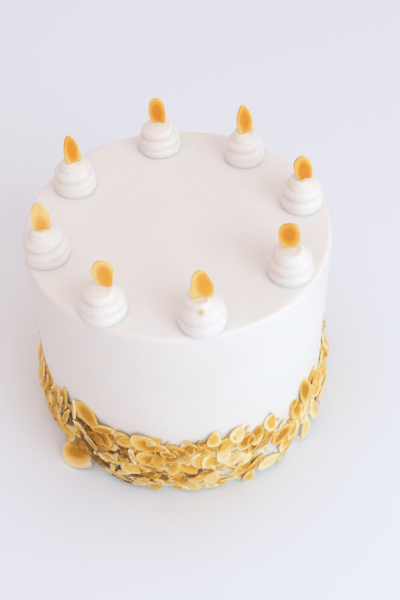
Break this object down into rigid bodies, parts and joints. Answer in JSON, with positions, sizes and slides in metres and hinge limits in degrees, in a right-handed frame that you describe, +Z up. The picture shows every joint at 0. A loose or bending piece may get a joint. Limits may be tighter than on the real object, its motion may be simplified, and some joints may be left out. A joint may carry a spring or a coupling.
{
  "type": "wedding cake",
  "caption": "Small round single-tier wedding cake iced smooth in white buttercream, with toasted sliced almonds round its foot and a ring of piped dollops, each with an upright almond slice.",
  "frame": {"origin": "centre of the cake's flat underside, on the surface it stands on", "axes": "+Z up the cake's height and its axis of turning; -Y towards the side the picture was taken from; +X to the right seen from there"},
  "size_m": [0.1735, 0.1732, 0.1599],
  "materials": {
    "buttercream": "smooth satin white buttercream",
    "toasted_almond": "dry toasted almond slice, golden with a paler rim"
  },
  "bodies": {
    "root": {"iced_cake": "buttercream", "dollop_1": "buttercream", "dollop_2": "buttercream", "dollop_3": "buttercream", "dollop_4": "buttercream", "dollop_5": "buttercream", "dollop_6": "buttercream", "dollop_7": "buttercream", "dollop_8": "buttercream", "topper_almond_1": "toasted_almond", "topper_almond_2": "toasted_almond", "topper_almond_3": "toasted_almond", "topper_almond_4": "toasted_almond", "topper_almond_5": "toasted_almond", "topper_almond_6": "toasted_almond", "topper_almond_7": "toasted_almond", "topper_almond_8": "toasted_almond"}
  },
  "joints": []
}
